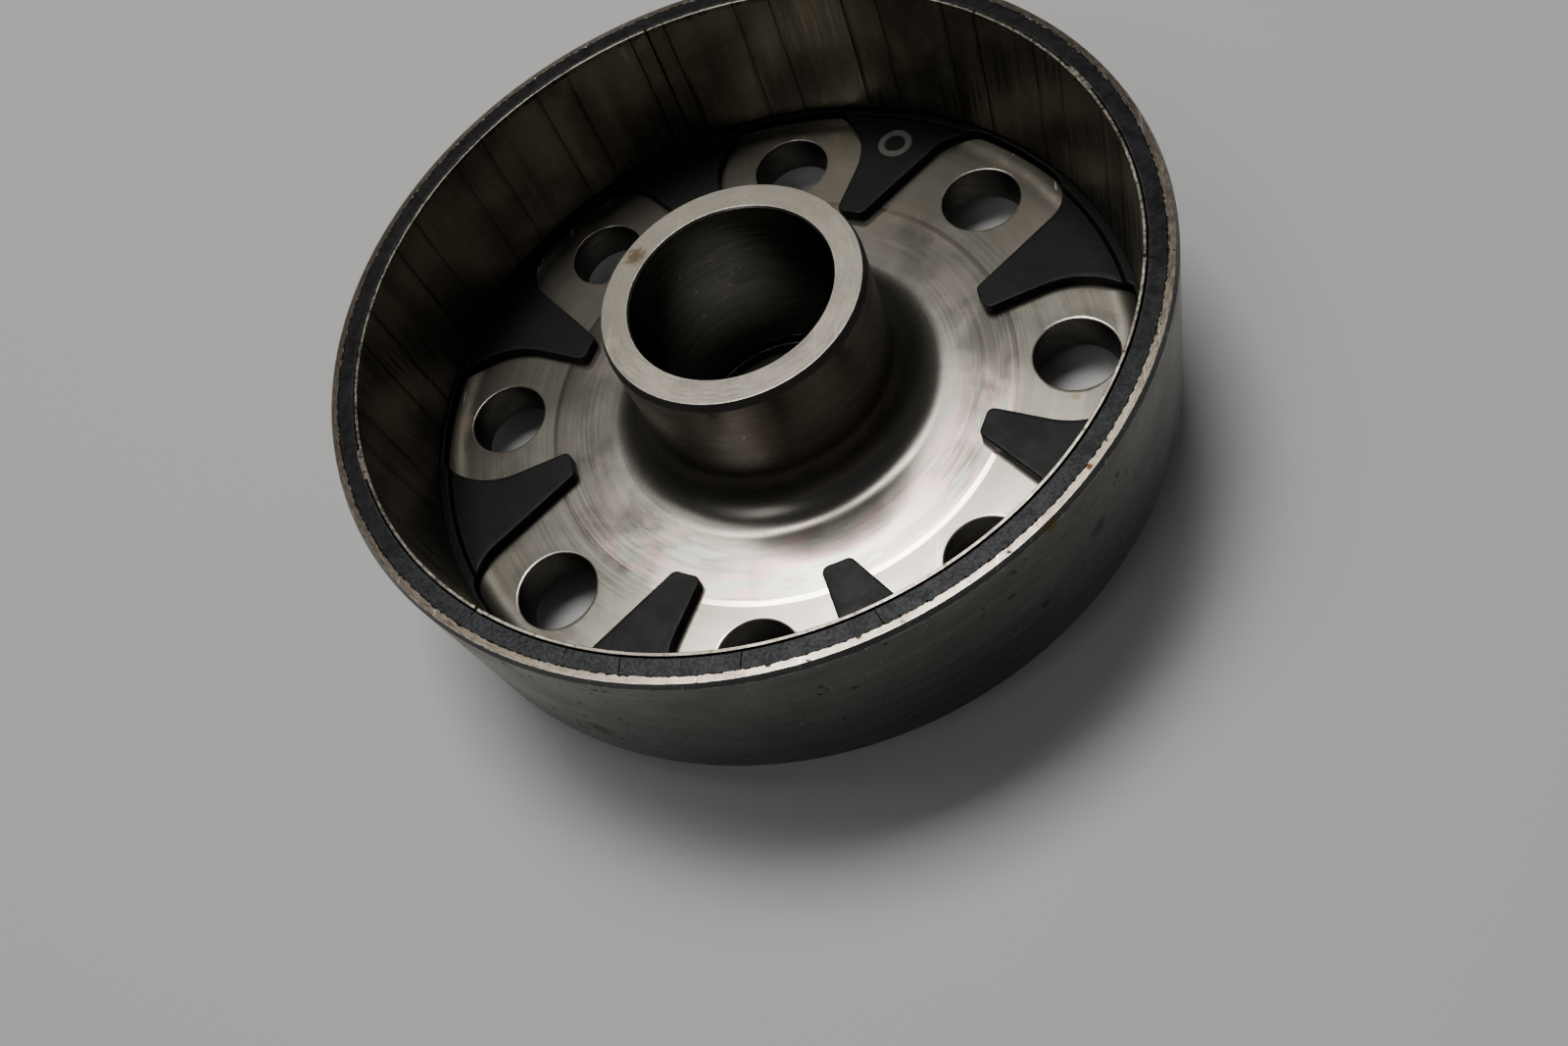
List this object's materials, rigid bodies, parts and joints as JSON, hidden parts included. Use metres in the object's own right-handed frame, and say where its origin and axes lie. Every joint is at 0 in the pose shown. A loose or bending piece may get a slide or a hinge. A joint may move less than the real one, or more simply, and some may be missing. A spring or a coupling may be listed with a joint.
{
  "type": "alternator magnet rotor",
  "caption": "Open steel rotor cup with a ring of arc magnets behind a thin guard ring, held by black resin fingers, with a bored hub and floor holes.",
  "frame": {"origin": "middle of the back boss's face, on which the cup stands open side up", "axes": "+Z along the turning axis, out of the cup's open side; +X through one of the eight screw holes that has a narrow window in the resin"},
  "size_m": [0.13, 0.13, 0.04],
  "materials": {
    "turned_steel": "turned and satin, lightly scratched, with a few brown stains",
    "black_resin": "moulded, matt, scuffed and cracked along the rim",
    "stainless_strip": "rolled strip, dull and brownish, bright at its top edge",
    "sintered_magnet": "ground, matt"
  },
  "bodies": {
    "root": {"steel_cup": "turned_steel", "resin_moulding": "black_resin", "guard_ring": "stainless_strip", "magnet_01": "sintered_magnet", "magnet_02": "sintered_magnet", "magnet_03": "sintered_magnet", "magnet_04": "sintered_magnet", "magnet_05": "sintered_magnet", "magnet_06": "sintered_magnet", "magnet_07": "sintered_magnet", "magnet_08": "sintered_magnet", "magnet_09": "sintered_magnet", "magnet_10": "sintered_magnet", "magnet_11": "sintered_magnet", "magnet_12": "sintered_magnet", "magnet_13": "sintered_magnet", "magnet_14": "sintered_magnet", "magnet_15": "sintered_magnet", "magnet_16": "sintered_magnet", "magnet_17": "sintered_magnet", "magnet_18": "sintered_magnet", "magnet_19": "sintered_magnet", "magnet_20": "sintered_magnet"}
  },
  "joints": []
}
